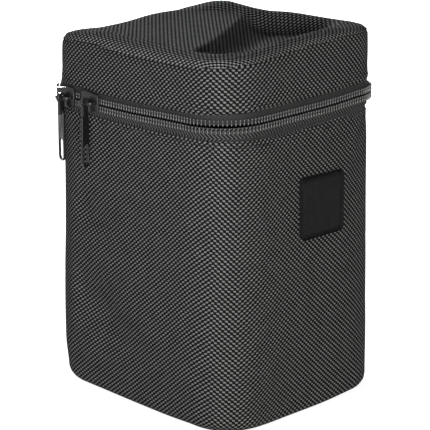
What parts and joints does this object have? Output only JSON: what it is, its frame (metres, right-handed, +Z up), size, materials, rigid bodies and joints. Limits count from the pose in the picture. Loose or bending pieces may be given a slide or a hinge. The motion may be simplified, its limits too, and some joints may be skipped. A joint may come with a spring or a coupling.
{
  "type": "lens pouch",
  "caption": "Upright padded lens pouch with rounded corners, a hinged zip-round lid with a dished top, hanging slider pulls, a front patch and a belt loop.",
  "frame": {"origin": "middle of the base panel's underside, on the surface that the pouch stands on", "axes": "+Z up, -Y the front with the patch, +Y the back with the lid's fold line and the belt loop, -X the side with both zip sliders"},
  "size_m": [0.1118, 0.123, 0.162],
  "materials": {
    "ballistic_nylon": "coarse plain weave, matte with a slight sheen",
    "foam": "closed-cell padding",
    "lining": "brushed knit",
    "board": "plain sheet",
    "woven_tape": "twill tape",
    "zip_coil": "moulded coil",
    "leather": "smooth, pressed border",
    "dark_metal": "black plated, worn bright on edges"
  },
  "bodies": {
    "pouch": {"body_wrap": "ballistic_nylon", "body_back_panel": "ballistic_nylon", "base_panel": "ballistic_nylon", "base_board": "board", "base_foam": "foam", "wall_foam": "foam", "back_foam": "foam", "wall_lining": "lining", "floor_lining": "lining", "mouth_binding": "woven_tape", "zip_tape_lower": "woven_tape", "zip_coil_lower": "zip_coil", "front_patch": "leather", "belt_loop": "woven_tape", "bartack_top": "woven_tape", "bartack_bottom": "woven_tape"},
    "lid": {"lid_wrap": "ballistic_nylon", "lid_back_panel": "ballistic_nylon", "lid_top_panel": "ballistic_nylon", "lid_wall_foam": "foam", "lid_back_foam": "foam", "lid_top_foam": "foam", "lid_lining": "lining", "lid_top_lining": "lining", "lid_binding": "woven_tape", "zip_tape_upper": "woven_tape", "zip_coil_upper": "zip_coil"},
    "slider_side": {"slider_side_body": "dark_metal", "slider_side_crown": "dark_metal"},
    "slider_corner": {"slider_corner_body": "dark_metal", "slider_corner_crown": "dark_metal"},
    "pull_side": {"pull_side": "dark_metal"},
    "pull_corner": {"pull_corner": "dark_metal"}
  },
  "joints": [
    {"name": "lid_hinge", "type": "hinge", "parent": "pouch", "child": "lid", "pos_m": [0, 0.056, 0.134], "axis": [-1, 0, 0], "range_deg": [0, 135]},
    {"name": "slider_side_travel", "type": "slide", "parent": "pouch", "child": "slider_side", "axis": [0, -1, 0], "range_m": [0, 0.052]},
    {"name": "slider_corner_travel", "type": "hinge", "parent": "pouch", "child": "slider_corner", "pos_m": [-0.031, 0.037, 0.134], "axis": [0, 0, -1], "range_deg": [0, 30]},
    {"name": "pull_side_swing", "type": "hinge", "parent": "slider_side", "child": "pull_side", "pos_m": [-0.05655, 0.0215, 0.134], "axis": [0, 1, 0], "range_deg": [-3, 175]},
    {"name": "pull_corner_swing", "type": "hinge", "parent": "slider_corner", "child": "pull_corner", "pos_m": [-0.05655, 0.037, 0.134], "axis": [0, 1, 0], "range_deg": [-3, 175]}
  ]
}
